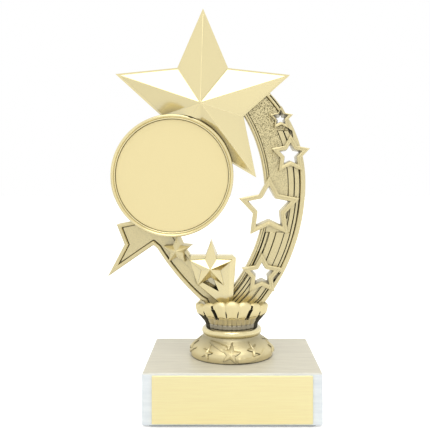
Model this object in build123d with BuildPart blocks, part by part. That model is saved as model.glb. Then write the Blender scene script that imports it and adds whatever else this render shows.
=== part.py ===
from build123d import *
import os
from math import cos, hypot, radians, sin, sqrt

# Star trophy: a marble base with an engraving plate, and a gold figure that a threaded rod
# clamps to it. The figure is a foot, a fluted cup, a crescent with four open stars, a ribbon
# arm, a comet star, a round insert holder and a large faceted star.
# Millimetres. +Z is up, the trophy faces -Y, and the origin is the middle of its underside.
# "height" below means how far a face stands in front of the figure's middle plane, y = 0.

# ---------------------------------------------------------------- driving dimensions
GAP = 0.1  # clearance between pieces that are fitted together

BASE_WIDTH, BASE_DEPTH, BASE_HEIGHT = 76.2, 63.5, 22.2
BASE_EDGE = 0.5  # chamfer of the marble's edges
FELT_INSET, FELT_THICKNESS, FELT_CORNER = 2.0, 0.8, 2.0
BASE_TOP = FELT_THICKNESS + BASE_HEIGHT

PLATE_WIDTH, PLATE_HEIGHT, PLATE_THICKNESS = 67.8, 20.4, 0.5
TAPE_THICKNESS, TAPE_INSET = 0.2, 1.5

ROD_RADIUS = 3.0
ROD_PITCH, ROD_THREAD_DEPTH = 1.25, 0.45
ROD_HOLE_RADIUS = 3.6
RECESS_RADIUS, RECESS_DEPTH = 12.5, 9.0
NUT_ACROSS_FLATS, NUT_THICKNESS = 11.1, 5.5
WASHER_RADIUS, WASHER_THICKNESS = 9.5, 1.5
LOCK_WASHER_RADIUS, LOCK_WASHER_THICKNESS, LOCK_WASHER_SLIT = 5.6, 1.4, 1.2

FOOT_RADIUS = 19.0
FOOT_WALL = 2.0
BELL_TANGENTS = [(1, 1.6), (-0.5, 1)]  # directions of its profile at the lip and at the neck
RELIEF_HEIGHT = 0.45
# small stars on the bell: angle round it, height above the base, tip radius, tilt
RELIEF_STARS = [(0, 4.0, 4.4, 8), (-38, 4.2, 2.9, 12), (32, 5.6, 2.9, -14)]
NECK_RADIUS, NECK_Z = 13.3, BASE_TOP + 10.8
RING_RADIUS, RING_Z, RING_BEAD = 13.9, BASE_TOP + 12.5, 1.75
LEDGE_Z = BASE_TOP + 12.9
SPIGOT_RADIUS, SOCKET_FLOOR_Z = 8.5, BASE_TOP + 7.0

PETALS = 16
PETAL_SLIT = 2.2  # degrees between petals
CUP_FLOOR_Z, CUP_SLOT_Z = 44.5, 41.5
CUP_SIDE_Z, CUP_FRONT_RISE = 47.6, 3.2  # rim height at the sides, and the extra at the front
CUP_CAVITY_RADIUS = 12.7

LAYER_BACK, LAYER_FLOOR, LAYER_RIM = -3.5, 1.5, 3.5  # heights of the crescent and the arm
FRAME_FRONT = 5.6  # height of the open stars' front

INNER_ARC = ((-55.4, 98.1), 70.7)  # crescent's inner edge: centre and radius
UPPER_ARC = ((-26.4, 103.0), 60.4)  # its outer edge above the widest point
LOWER_ARC = ((-57.0, 103.0), 91.0)  # and below it
CRESCENT_RIM, ARM_RIM = 2.3, 1.8  # widths
TRAIL_HEIGHT = 1.0

# open stars: centre, tip radius of the outline, tip radius of the opening at the back
OPEN_STARS = {
    "open_star_small": ((22.8, 132.5), 5.6, 2.0),
    "open_star_upper": ((27.0, 115.8), 9.3, 4.6),
    "open_star_large": ((17.1, 91.2), 14.7, 9.6),
    "open_star_lower": ((13.8, 60.8), 9.8, 4.7),
}
NOTCH_RATIO = 0.53  # notch radius over tip radius of an open star

# trails behind the open stars: lowest z, highest z, and their places across the crescent,
# from 0 at the inner edge to 1 at the outer edge
TRAILS = [
    (120.0, 128.5, [(0.62, 0.78)]),
    (98.0, 110.5, [(0.585, 0.74)]),
    (80.0, 94.0, [(0.77, 0.87)]),
    (65.0, 84.0, [(0.15, 0.19), (0.40, 0.62), (0.66, 0.76)]),
    (46.5, 57.5, [(0.22, 0.31), (0.46, 0.63), (0.69, 0.78)]),
]

STAR_CENTRE, STAR_TIP, STAR_NOTCH = (-13.5, 139.7), 42.3, 19.9
STAR_TURN = 0.3  # degrees clockwise from upright
STAR_TOP_REACH = 1.2  # how much longer its top arm is
STAR_BACK_HEIGHT, STAR_BACK_THICKNESS = 1.6, 2.0
STAR_EDGE_HEIGHT, STAR_APEX_HEIGHT = 5.3, 15.5
STAR_APEX = (-14.2, 138.6)
STAR_SHELL = 1.9

DISC_CENTRE, DISC_RADIUS, DISC_FRONT = (-27.0, 106.2), 27.7, 12.4
INSERT_RADIUS, INSERT_THICKNESS = 25.4, 0.6
INSERT_TAPE_RADIUS, INSERT_TAPE_THICKNESS = 22.0, 0.3
INSERT_FLOOR = 10.0  # height of the recess that takes the insert

RIBBON_STAR_CENTRE, RIBBON_STAR_TIP, RIBBON_STAR_NOTCH = (-25.3, 71.8), 6.5, 3.0
RIBBON_STAR_EDGE, RIBBON_STAR_PEAK = 4.6, 8.2  # heights
COMET_CENTRE, COMET_TIP, COMET_NOTCH = (-9.6, 64.3), 10.3, 4.7
COMET_BACK_CENTRE, COMET_BACK_TIP, COMET_BACK_NOTCH = (-9.6, 64.3), 12.4, 6.5
COMET_TRAIL_HEIGHT, COMET_EDGE, COMET_PEAK = 6.8, 7.0, 11.6
PEG_RADIUS, PEG_DEPTH, PEG_HOLE_DEPTH = 1.4, -1.5, -1.8  # depths are heights of the ends


# ---------------------------------------------------------------- helpers
def facing(height):
    """The sketch plane that faces the viewer, at that height: local x is X, local y is Z."""
    return Plane.XZ.offset(height)


def star_points(centre, tip, notch, turn=0.0):
    """Ten corners of a five-pointed star, clockwise from its top tip."""
    corners = []
    for k in range(10):
        radius = notch if k % 2 else tip
        angle = radians(36 * k + turn)
        corners.append((centre[0] + radius * sin(angle), centre[1] + radius * cos(angle)))
    return corners


def at_height(points, height):
    """Points of the facing plane as points in space."""
    return [Vector(x, -height, z) for x, z in points]


def faceted_solid(outline, apex, height):
    """A flat-backed solid whose facets run from an outline at one height to an apex."""
    corners = at_height(outline, height)
    facets = [
        Face(Wire.make_polygon([a, b, apex])) for a, b in zip(corners, corners[1:] + corners[:1])
    ]
    back = Face(Wire.make_polygon(corners))
    return Solid(Shell(facets + [back]))


def tapered_solid(back, back_height, front, front_height):
    """A solid with flat sides between two outlines that have the same number of corners."""
    low = at_height(back, back_height)
    high = at_height(front, front_height)
    sides = []
    for k in range(len(low)):
        n = (k + 1) % len(low)
        sides.append(Face(Wire.make_polygon([low[k], low[n], high[n]])))
        sides.append(Face(Wire.make_polygon([low[k], high[n], high[k]])))
    ends = [Face(Wire.make_polygon(low)), Face(Wire.make_polygon(high))]
    return Solid(Shell(sides + ends))


def extrude_outline(points, low, high, mode=Mode.ADD):
    """In the part being built, extrudes an outline straight between two heights."""
    with BuildSketch(facing(low)) as outline:
        Polygon(*points, align=None)
    extrude(outline.sketch, amount=high - low, mode=mode)


def extrude_round(centre, radius, low, high, mode=Mode.ADD):
    """In the part being built, makes a round pin, boss or hole along Y between two heights."""
    with BuildSketch(facing(low)) as outline:
        with Locations(centre):
            Circle(radius)
    extrude(outline.sketch, amount=high - low, mode=mode)


def arc_x(arc, z):
    (cx, cz), radius = arc
    return cx + sqrt(radius**2 - (z - cz) ** 2)


def inner_x(z):
    return arc_x(INNER_ARC, z)


def outer_x(z):
    return arc_x(UPPER_ARC if z > UPPER_ARC[0][1] else LOWER_ARC, z)


def across(u, z):
    """A point of the crescent: u is 0 at the inner edge and 1 at the outer edge."""
    return (inner_x(z) + u * (outer_x(z) - inner_x(z)), z)


def ring_sector(arc, width, low_z, high_z):
    """Sketch of the band of that width inside an arc's edge (outside it if width < 0)."""
    (cx, cz), radius = arc
    edge = [(arc_x(arc, z), z) for z in (low_z, (low_z + high_z) / 2, high_z)]
    far = []
    for x, z in reversed(edge):
        reach = (radius - width) / hypot(x - cx, z - cz)
        far.append((cx + (x - cx) * reach, cz + (z - cz) * reach))
    with BuildSketch() as band:
        with BuildLine():
            ThreePointArc(*edge)
            Line(edge[2], far[0])
            ThreePointArc(*far)
            Line(far[2], edge[0])
        make_face()
    return band.sketch


def trail(u_low, u_high, low_z, high_z):
    """Sketch of one raised trail that follows the crescent."""
    middle = (low_z + high_z) / 2
    left = [across(u_low, z) for z in (low_z, middle, high_z)]
    right = [across(u_high, z) for z in (high_z, middle, low_z)]
    with BuildSketch() as strip:
        with BuildLine():
            ThreePointArc(*left)
            Line(left[2], right[0])
            ThreePointArc(*right)
            Line(right[2], left[0])
        make_face()
    return strip.sketch


def hexagon_nut(low_z):
    """A plain hexagon nut on the rod's axis, with its bore clear of the rod."""
    with BuildPart() as nut:
        with BuildSketch(Plane.XY.offset(low_z)):
            RegularPolygon(NUT_ACROSS_FLATS / 2, 6, major_radius=False)
            Circle(ROD_RADIUS + 0.05, mode=Mode.SUBTRACT)
        extrude(amount=NUT_THICKNESS)
        cone_height = NUT_ACROSS_FLATS * 0.6
        with BuildSketch(Plane.XZ):
            with BuildLine():
                reach = NUT_ACROSS_FLATS / 2
                Polyline(
                    (0, low_z - cone_height + reach * 0.55),
                    (reach * 1.25, low_z + 0.6),
                    (reach * 1.25, low_z + NUT_THICKNESS - 0.6),
                    (0, low_z + NUT_THICKNESS + cone_height - reach * 0.55),
                    close=True,
                )
            make_face()
        revolve(axis=Axis.Z, mode=Mode.INTERSECT)
    return nut.part


def write(shape, name):
    """Labels one finished piece and writes its STEP file."""
    shape.label = name
    export_step(shape, f"parts/{name}.step")


# ---------------------------------------------------------------- base, plate and felt
def build_marble_base():
    with BuildPart() as marble_base:
        with Locations((0, 0, FELT_THICKNESS)):
            Box(BASE_WIDTH, BASE_DEPTH, BASE_HEIGHT, align=(Align.CENTER, Align.CENTER, Align.MIN))
        chamfer(marble_base.edges(), BASE_EDGE)
        with Locations(Plane(origin=(0, 0, FELT_THICKNESS), z_dir=(0, 0, -1))):
            CounterBoreHole(ROD_HOLE_RADIUS, RECESS_RADIUS, RECESS_DEPTH)
    write(marble_base.part, "marble_base")


def build_base_felt():
    with BuildPart() as base_felt:
        with BuildSketch():
            RectangleRounded(
                BASE_WIDTH - 2 * FELT_INSET, BASE_DEPTH - 2 * FELT_INSET, FELT_CORNER
            )
        extrude(amount=FELT_THICKNESS)
    write(base_felt.part, "base_felt")


def build_engraving_plate():
    middle_z = BASE_TOP - BASE_HEIGHT / 2
    front_y = BASE_DEPTH / 2
    with BuildPart() as plate_tape:
        with BuildSketch(facing(front_y)):
            with Locations((0, middle_z)):
                Rectangle(PLATE_WIDTH - 2 * TAPE_INSET, PLATE_HEIGHT - 2 * TAPE_INSET)
        extrude(amount=TAPE_THICKNESS)
    write(plate_tape.part, "plate_tape")
    with BuildPart() as engraving_plate:
        with BuildSketch(facing(front_y + TAPE_THICKNESS)):
            with Locations((0, middle_z)):
                RectangleRounded(PLATE_WIDTH, PLATE_HEIGHT, 0.4)
        extrude(amount=PLATE_THICKNESS)
        chamfer(engraving_plate.faces().sort_by(Axis.Y)[0].edges(), 0.12)
    write(engraving_plate.part, "engraving_plate")


# ---------------------------------------------------------------- rod, nuts and washers
RECESS_ROOF_Z = FELT_THICKNESS + RECESS_DEPTH
WASHER_Z = RECESS_ROOF_Z - WASHER_THICKNESS
LOCK_WASHER_Z = WASHER_Z - LOCK_WASHER_THICKNESS
BASE_NUT_Z = LOCK_WASHER_Z - NUT_THICKNESS
CAPTIVE_NUT_Z = SOCKET_FLOOR_Z + 0.6
ROD_BOTTOM_Z, ROD_TOP_Z = BASE_NUT_Z - 0.2, CAPTIVE_NUT_Z + NUT_THICKNESS + 1.5


def build_rod():
    """The threaded rod, as a turned bar with one groove for each turn of its thread."""
    turns = int((ROD_TOP_Z - ROD_BOTTOM_Z - 1.5) / ROD_PITCH)
    root = ROD_RADIUS - ROD_THREAD_DEPTH
    outline = [(0, ROD_BOTTOM_Z), (root, ROD_BOTTOM_Z)]
    for k in range(turns):
        z = ROD_BOTTOM_Z + 0.75 + k * ROD_PITCH
        outline += [(root, z), (ROD_RADIUS, z + 0.45 * ROD_PITCH), (ROD_RADIUS, z + 0.55 * ROD_PITCH)]
    outline += [(root, outline[-1][1] + 0.45 * ROD_PITCH), (root, ROD_TOP_Z), (0, ROD_TOP_Z)]
    with BuildPart() as threaded_rod:
        with BuildSketch(Plane.XZ):
            with BuildLine():
                Polyline(*outline, close=True)
            make_face()
        revolve(axis=Axis.Z)
    write(threaded_rod.part, "threaded_rod")


def build_fasteners():
    write(hexagon_nut(BASE_NUT_Z), "base_nut")
    write(hexagon_nut(CAPTIVE_NUT_Z), "captive_nut")
    with BuildPart() as flat_washer:
        with BuildSketch(Plane.XY.offset(WASHER_Z)):
            Circle(WASHER_RADIUS)
            Circle(ROD_HOLE_RADIUS - 0.3, mode=Mode.SUBTRACT)
        extrude(amount=WASHER_THICKNESS)
        chamfer(flat_washer.edges().group_by(SortBy.LENGTH)[-1], 0.2)
    write(flat_washer.part, "flat_washer")
    with BuildPart() as lock_washer:
        with BuildSketch(Plane.XY.offset(LOCK_WASHER_Z)):
            Circle(LOCK_WASHER_RADIUS)
            Circle(ROD_HOLE_RADIUS - 0.4, mode=Mode.SUBTRACT)
            with Locations(Location((LOCK_WASHER_RADIUS - 1, 0), 25)):
                Rectangle(5, LOCK_WASHER_SLIT, mode=Mode.SUBTRACT)
        extrude(amount=LOCK_WASHER_THICKNESS)
    write(lock_washer.part, "lock_washer")


# ---------------------------------------------------------------- foot
def foot_outline():
    """The bell's outer profile from its lower lip to its neck: radius and z."""
    return [
        (FOOT_RADIUS - 0.9, BASE_TOP),
        (FOOT_RADIUS, BASE_TOP + 2.6),
        (FOOT_RADIUS - 1.6, BASE_TOP + 6.3),
        (NECK_RADIUS + 1.3, BASE_TOP + 9.0),
        (NECK_RADIUS, NECK_Z),
    ]


def foot_relief():
    """Stars that stand a little proud of the bell: the same three, three times round it."""
    with BuildPart() as skin:
        with BuildSketch(Plane.XZ):
            profile = [(radius + RELIEF_HEIGHT, z) for radius, z in foot_outline()]
            with BuildLine():
                Spline(*profile, tangents=BELL_TANGENTS)
                Polyline(profile[-1], (0, NECK_Z), (0, BASE_TOP), profile[0])
            make_face()
        revolve(axis=Axis.Z)
    stars = []
    for turn in (0, 120, 240):
        for angle, z, tip, tilt in RELIEF_STARS:
            across_bell = (cos(radians(turn + angle)), sin(radians(turn + angle)), 0)
            out = (across_bell[1], -across_bell[0], 0)
            root = Vector(*out) * (NECK_RADIUS - 1) + Vector(0, 0, BASE_TOP + z)
            plane = Plane(origin=root, x_dir=across_bell, z_dir=out)
            with BuildSketch(plane) as star:
                Polygon(*star_points((0, 0), tip, 0.44 * tip, tilt), align=None)
            stars.append(extrude(star.sketch, amount=1.5 * FOOT_RADIUS))
    return [skin.part & star for star in stars]


def build_foot():
    relief = foot_relief()
    low, *bell, neck = foot_outline()
    with BuildPart() as foot:
        with BuildSketch(Plane.XZ):
            with BuildLine():
                Polyline((ROD_HOLE_RADIUS, BASE_TOP), low)
                Spline(low, *bell, neck, tangents=BELL_TANGENTS)
                Line(neck, (RING_RADIUS - RING_BEAD, NECK_Z + 0.2))
                Line((RING_RADIUS - RING_BEAD, NECK_Z + 0.2), (RING_RADIUS - RING_BEAD, LEDGE_Z))
                Line((RING_RADIUS - RING_BEAD, LEDGE_Z), (SPIGOT_RADIUS + GAP, LEDGE_Z))
                Line((SPIGOT_RADIUS + GAP, LEDGE_Z), (SPIGOT_RADIUS + GAP, SOCKET_FLOOR_Z))
                Line((SPIGOT_RADIUS + GAP, SOCKET_FLOOR_Z), (ROD_HOLE_RADIUS, SOCKET_FLOOR_Z))
                Line((ROD_HOLE_RADIUS, SOCKET_FLOOR_Z), (ROD_HOLE_RADIUS, BASE_TOP))
            make_face()
            with Locations((RING_RADIUS - RING_BEAD, RING_Z)):
                Circle(RING_BEAD)
        revolve(axis=Axis.Z)
        add(relief)
        with BuildSketch(Plane.XZ):
            inside = FOOT_RADIUS - FOOT_WALL
            with BuildLine():
                Polyline(
                    (ROD_HOLE_RADIUS + FOOT_WALL, BASE_TOP),
                    (inside - 0.9, BASE_TOP),
                    (inside - 0.4, BASE_TOP + 1.4),
                    (NECK_RADIUS - 0.6, SOCKET_FLOOR_Z - FOOT_WALL),
                    (ROD_HOLE_RADIUS + FOOT_WALL, SOCKET_FLOOR_Z - FOOT_WALL),
                    close=True,
                )
            make_face()
        revolve(axis=Axis.Z, mode=Mode.SUBTRACT)
    write(foot.part, "foot")


# ---------------------------------------------------------------- fluted cup
def revolve_petal(angle):
    """In the cup, makes one petal. The front and back petals stand higher than the side ones."""
    rim_z = CUP_SIDE_Z + CUP_FRONT_RISE * sin(radians(angle)) ** 2
    width = 360 / PETALS - PETAL_SLIT
    start = radians(angle - width / 2)
    section = Plane(
        origin=(0, 0, 0), x_dir=(cos(start), sin(start), 0), z_dir=(sin(start), -cos(start), 0)
    )
    with BuildSketch(section) as leaf:
        with BuildLine():
            Polyline(
                (8.0, LEDGE_Z + GAP),
                (10.0, LEDGE_Z + GAP),
                (10.3, LEDGE_Z + 0.7),
                (11.4, LEDGE_Z + 1.6),
                (16.4, 42.7),
                (17.0, 44.2),
                (16.9, 45.6),
                (16.4, rim_z - 0.9),
                (15.5, rim_z),
                (13.9, rim_z - 0.2),
                (CUP_CAVITY_RADIUS + 0.2, CUP_FLOOR_Z),
                (8.0, CUP_FLOOR_Z - 2),
                close=True,
            )
        make_face()
    revolve(leaf.sketch, axis=Axis.Z, revolution_arc=width)


def build_cup():
    with BuildPart() as fluted_cup:
        with BuildSketch(Plane.XZ):
            with BuildLine():
                Polyline(
                    (0, SOCKET_FLOOR_Z + GAP),
                    (SPIGOT_RADIUS, SOCKET_FLOOR_Z + GAP),
                    (SPIGOT_RADIUS, LEDGE_Z + GAP),
                    (9.5, LEDGE_Z + GAP),
                    (10.2, LEDGE_Z + 1.4),
                    (15.1, 42.7),
                    (15.7, 44.6),
                    (15.3, 46.6),
                    (13.7, 46.8),
                    (CUP_CAVITY_RADIUS, CUP_FLOOR_Z),
                    (0, CUP_FLOOR_Z),
                    close=True,
                )
            make_face()
        revolve(axis=Axis.Z)
        for k in range(PETALS):
            revolve_petal(90 + k * 360 / PETALS)
        # pocket for the captive nut, bore for the rod's end, and the slots for the roots
        with BuildSketch(Plane.XY.offset(SOCKET_FLOOR_Z)):
            RegularPolygon(NUT_ACROSS_FLATS / 2 + GAP, 6, major_radius=False)
        extrude(amount=CAPTIVE_NUT_Z + NUT_THICKNESS + GAP - SOCKET_FLOOR_Z, mode=Mode.SUBTRACT)
        with BuildSketch(Plane.XY.offset(SOCKET_FLOOR_Z)):
            Circle(ROD_HOLE_RADIUS)
        extrude(amount=ROD_TOP_Z + 0.5 - SOCKET_FLOOR_Z, mode=Mode.SUBTRACT)
        for low_x, high_x, low_height, high_height in ROOTS.values():
            with BuildSketch(Plane.XY.offset(CUP_SLOT_Z)):
                with Locations(((low_x + high_x) / 2, -(low_height + high_height) / 2)):
                    Rectangle(high_x - low_x + 2 * GAP, high_height - low_height + 2 * GAP)
            extrude(amount=CUP_FLOOR_Z - CUP_SLOT_Z, mode=Mode.SUBTRACT)
    write(fluted_cup.part, "fluted_cup")


# tabs that stand in the cup's slots: low x, high x, low height, high height
ROOTS = {
    "crescent": (1.0, 10.0, -2.6, 0.6),
    "ribbon_arm": (-10.0, -3.5, -2.6, 0.6),
    "comet_star": (-3.9, -1.2, 3.6, 6.0),
}


def extrude_root(name):
    """In the part being built, makes the tab that stands in the cup's slot."""
    low_x, high_x, low_height, high_height = ROOTS[name]
    low_z, high_z = CUP_SLOT_Z + GAP, CUP_FLOOR_Z + 1.5
    corners = [(low_x, low_z), (high_x, low_z), (high_x, high_z), (low_x, high_z)]
    extrude_outline(corners, low_height, high_height)


# ---------------------------------------------------------------- open stars
def open_star_outline(name, grow=0.0):
    centre, tip, _ = OPEN_STARS[name]
    return star_points(centre, tip + 1.9 * grow, NOTCH_RATIO * tip + grow)


def open_star_plug(name, grow=0.0):
    centre, tip, opening = OPEN_STARS[name]
    plug = opening + 0.5 * (tip - opening)
    return star_points(centre, plug + 1.9 * grow, NOTCH_RATIO * plug + grow)


def build_open_stars():
    """Each is a star-shaped collar: a flange on the crescent's face and a plug in its window."""
    for name, (centre, tip, opening) in OPEN_STARS.items():
        wide = opening + 0.22 * (tip - opening)
        seat = LAYER_FLOOR + 0.05
        edge = 0.35 * (tip - opening)
        face = star_points(centre, tip - edge, NOTCH_RATIO * (tip - edge))
        with BuildPart() as collar:
            add(tapered_solid(open_star_outline(name), FRAME_FRONT - 1.4, face, FRAME_FRONT))
            extrude_outline(open_star_outline(name), seat, FRAME_FRONT - 1.4)
            extrude_outline(open_star_plug(name), LAYER_BACK, seat)
            mouth = star_points(centre, wide, NOTCH_RATIO * wide)
            back = star_points(centre, opening, NOTCH_RATIO * opening)
            add(tapered_solid(back, LAYER_BACK, mouth, FRAME_FRONT), mode=Mode.SUBTRACT)
        write(collar.part, name)


# ---------------------------------------------------------------- crescent
def crescent_outline():
    """The crescent's flat outline, with its upper tongue that lies under the large star."""
    widest = UPPER_ARC[0][1]
    top_out, top_in = 151.0, 143.5
    foot_out, foot_in = 48.1, 52.4
    outer_low = [(outer_x(z), z) for z in (foot_out, 75.0, widest)]
    outer_high = [(outer_x(z), z) for z in (widest, 130.0, top_out)]
    inner = [(inner_x(z), z) for z in (top_in, 98.0, foot_in)]
    with BuildSketch() as outline:
        with BuildLine():
            ThreePointArc(*outer_low)
            ThreePointArc(*outer_high)
            Line(outer_high[2], inner[0])
            ThreePointArc(*inner)
            Polyline(
                inner[2],
                (-1.4, CUP_FLOOR_Z + GAP),
                (11.7, CUP_FLOOR_Z + GAP),
                (12.9, foot_out),
                outer_low[0],
            )
        make_face()
    return outline.sketch


def build_crescent():
    outline = crescent_outline()
    with BuildPart() as crescent:
        with BuildSketch(facing(LAYER_BACK)):
            add(outline)
        extrude(amount=LAYER_FLOOR - LAYER_BACK)
        with BuildSketch(facing(LAYER_FLOOR)):
            add(ring_sector(INNER_ARC, -CRESCENT_RIM, 52.5, 138.0))
            add(ring_sector(LOWER_ARC, CRESCENT_RIM, 48.5, 103.0))
            add(ring_sector(UPPER_ARC, CRESCENT_RIM, 103.0, 146.0))
        extrude(amount=LAYER_RIM - LAYER_FLOOR)
        with BuildSketch(facing(LAYER_FLOOR)):
            for low_z, high_z, places in TRAILS:
                for u_low, u_high in places:
                    add(trail(u_low, u_high, low_z, high_z))
        extrude(amount=TRAIL_HEIGHT)
        extrude_root("crescent")
        # room for the pieces that lie on it
        above = LAYER_FLOOR
        extrude_outline(star_outline(GAP), above, FRAME_FRONT, mode=Mode.SUBTRACT)
        extrude_outline(comet_outline(GAP), above, FRAME_FRONT, mode=Mode.SUBTRACT)
        for name in OPEN_STARS:
            extrude_outline(open_star_outline(name, GAP), above, FRAME_FRONT, mode=Mode.SUBTRACT)
            extrude_outline(open_star_plug(name, 0.05), LAYER_BACK, above, mode=Mode.SUBTRACT)
        for centre in STAR_PEGS:
            extrude_round(
                centre, PEG_RADIUS + GAP, PEG_HOLE_DEPTH, LAYER_FLOOR, mode=Mode.SUBTRACT
            )
    write(crescent.part.solids().sort_by(SortBy.VOLUME)[-1], "crescent")


# ---------------------------------------------------------------- ribbon arm
def arm_outline():
    """The arm that rises from the cup to the insert holder, with its swallow tail."""
    with BuildSketch() as outline:
        with BuildLine():
            Polyline(
                (-34.2, 72.3),
                (-36.2, 74.1),
                (-57.0, 59.8),
                (-49.5, 74.4),
                (-53.2, 83.5),
                (-44.5, 85.3),
                (-41.0, 94.0),
                (-26.5, 92.0),
                (-25.8, 78.3),
                (-5.9, 50.6),
                (-1.6, 48.5),
                (-1.6, CUP_FLOOR_Z + GAP),
                (-11.5, CUP_FLOOR_Z + GAP),
                (-12.8, 48.1),
                (-14.8, 49.0),
            )
            ThreePointArc((-14.8, 49.0), (-25.3, 59.6), (-34.2, 72.3))
        make_face()
    return outline.sketch


def build_ribbon_arm():
    outline = arm_outline()
    with BuildPart() as ribbon_arm:
        with BuildSketch(facing(LAYER_BACK)):
            add(outline)
        extrude(amount=LAYER_FLOOR - LAYER_BACK)
        with BuildSketch(facing(LAYER_FLOOR)):
            add(outline)
            offset(outline, amount=-ARM_RIM, mode=Mode.SUBTRACT)
        extrude(amount=LAYER_RIM - LAYER_FLOOR)
        ribbon_trail = [(-22.9, 66.9), (-15.2, 59.7), (-9.0, 55.0), (-17.4, 66.0), (-21.0, 71.0)]
        extrude_outline(ribbon_trail, LAYER_FLOOR, LAYER_FLOOR + 1.3 * TRAIL_HEIGHT)
        extrude_root("ribbon_arm")
        ribbon_star = star_points(
            RIBBON_STAR_CENTRE, RIBBON_STAR_TIP + 3 * GAP, RIBBON_STAR_NOTCH + 1.6 * GAP
        )
        extrude_outline(ribbon_star, LAYER_FLOOR, FRAME_FRONT, mode=Mode.SUBTRACT)
        extrude_outline(comet_outline(GAP), LAYER_FLOOR, FRAME_FRONT, mode=Mode.SUBTRACT)
        extrude_round(
            ARM_PEG, PEG_RADIUS + GAP, PEG_HOLE_DEPTH, LAYER_FLOOR, mode=Mode.SUBTRACT
        )
    write(ribbon_arm.part.solids().sort_by(SortBy.VOLUME)[-1], "ribbon_arm")


def build_ribbon_star():
    centre = RIBBON_STAR_CENTRE
    outline = star_points(centre, RIBBON_STAR_TIP, RIBBON_STAR_NOTCH)
    apex = Vector(centre[0], -RIBBON_STAR_PEAK, centre[1])
    with BuildPart() as ribbon_star:
        extrude_outline(outline, LAYER_FLOOR + 0.05, RIBBON_STAR_EDGE)
        add(faceted_solid(outline, apex, RIBBON_STAR_EDGE))
    write(ribbon_star.part, "ribbon_star")


# ---------------------------------------------------------------- comet star
def comet_trail():
    """Outline of the wedge that runs from the comet star down to the cup."""
    return [(1.2, 68.2), (0.2, 47.5), (-4.6, 46.6), (-16.6, 55.6), (-12.0, 64.0)]


def comet_outline(grow):
    """A plain outline round the comet star and its trail, for the room that it needs."""
    star = star_points(COMET_BACK_CENTRE, COMET_BACK_TIP + 3 * grow, COMET_BACK_NOTCH + 1.6 * grow)
    upper = star[:3]
    right = [(1.2 + 2 * grow, 68.2), (0.2 + grow, CUP_FLOOR_Z), (-4.9 - grow, CUP_FLOOR_Z)]
    left = [(-16.8 - grow, 55.4 - grow)] + star[7:]
    return upper + right + left


def build_comet_star():
    with BuildPart() as comet_star:
        back = star_points(COMET_BACK_CENTRE, COMET_BACK_TIP, COMET_BACK_NOTCH)
        front = star_points(COMET_CENTRE, COMET_TIP, COMET_NOTCH)
        apex = Vector(COMET_CENTRE[0], -COMET_PEAK, COMET_CENTRE[1])
        add(tapered_solid(back, LAYER_FLOOR + 0.05, front, COMET_EDGE))
        add(faceted_solid(front, apex, COMET_EDGE))
        extrude_outline(comet_trail(), LAYER_FLOOR + 0.05, COMET_TRAIL_HEIGHT)
        extrude_root("comet_star")
    write(comet_star.part.solids().sort_by(SortBy.VOLUME)[-1], "comet_star")


# ---------------------------------------------------------------- large star and insert holder
STAR_PEGS = [(8.0, 147.0), (5.0, 140.5)]  # star back into the crescent's tongue
SHELL_PEGS = [(-13.8, 164.0), (-38.0, 147.5), (12.0, 147.5)]  # star front into the star back
HOLDER_PEGS = [(-33.0, 114.0), (-27.0, 123.0)]  # insert holder into the star back
ARM_PEG = (-33.0, 87.0)  # insert holder into the arm


def stretched_star(tip, notch):
    """The large star's outline, with its longer top arm."""
    top, *others = star_points(STAR_CENTRE, tip, notch, STAR_TURN)
    return [(top[0], top[1] + STAR_TOP_REACH)] + others


def star_outline(grow=0.0):
    return stretched_star(STAR_TIP + 2.2 * grow, STAR_NOTCH + grow)


def build_star_back():
    front = STAR_BACK_HEIGHT + STAR_BACK_THICKNESS
    with BuildPart() as star_back:
        extrude_outline(star_outline(), STAR_BACK_HEIGHT, front)
        for centre in STAR_PEGS:
            extrude_round(centre, PEG_RADIUS, PEG_DEPTH, STAR_BACK_HEIGHT)
        for centre in SHELL_PEGS + HOLDER_PEGS:
            extrude_round(centre, PEG_RADIUS + GAP, STAR_BACK_HEIGHT, front, mode=Mode.SUBTRACT)
    write(star_back.part, "star_back")


def build_star_front():
    """A faceted shell: a low wall round its edge, and ten facets that meet at the apex."""
    low = STAR_BACK_HEIGHT + STAR_BACK_THICKNESS + 0.05
    apex = Vector(STAR_APEX[0], -STAR_APEX_HEIGHT, STAR_APEX[1])
    hollow = stretched_star(STAR_TIP - 3.2 * STAR_SHELL, STAR_NOTCH - STAR_SHELL)
    inner_apex = Vector(STAR_APEX[0], -STAR_APEX_HEIGHT + STAR_SHELL, STAR_APEX[1])
    with BuildPart() as star_front:
        extrude_outline(star_outline(), low, STAR_EDGE_HEIGHT)
        add(faceted_solid(star_outline(), apex, STAR_EDGE_HEIGHT))
        extrude_outline(hollow, low, STAR_EDGE_HEIGHT, mode=Mode.SUBTRACT)
        add(faceted_solid(hollow, inner_apex, STAR_EDGE_HEIGHT), mode=Mode.SUBTRACT)
        for centre in SHELL_PEGS:
            reach = hypot(centre[0] - STAR_APEX[0], centre[1] - STAR_APEX[1]) / STAR_TIP
            roof = STAR_APEX_HEIGHT - reach * (STAR_APEX_HEIGHT - STAR_EDGE_HEIGHT)
            extrude_round(centre, PEG_RADIUS, STAR_BACK_HEIGHT + 0.1, roof - 0.9)
        bite_radius = DISC_RADIUS + 0.15
        extrude_round(DISC_CENTRE, bite_radius, low, STAR_APEX_HEIGHT + 1, mode=Mode.SUBTRACT)
    write(star_front.part.solids().sort_by(SortBy.VOLUME)[-1], "star_front")


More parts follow.
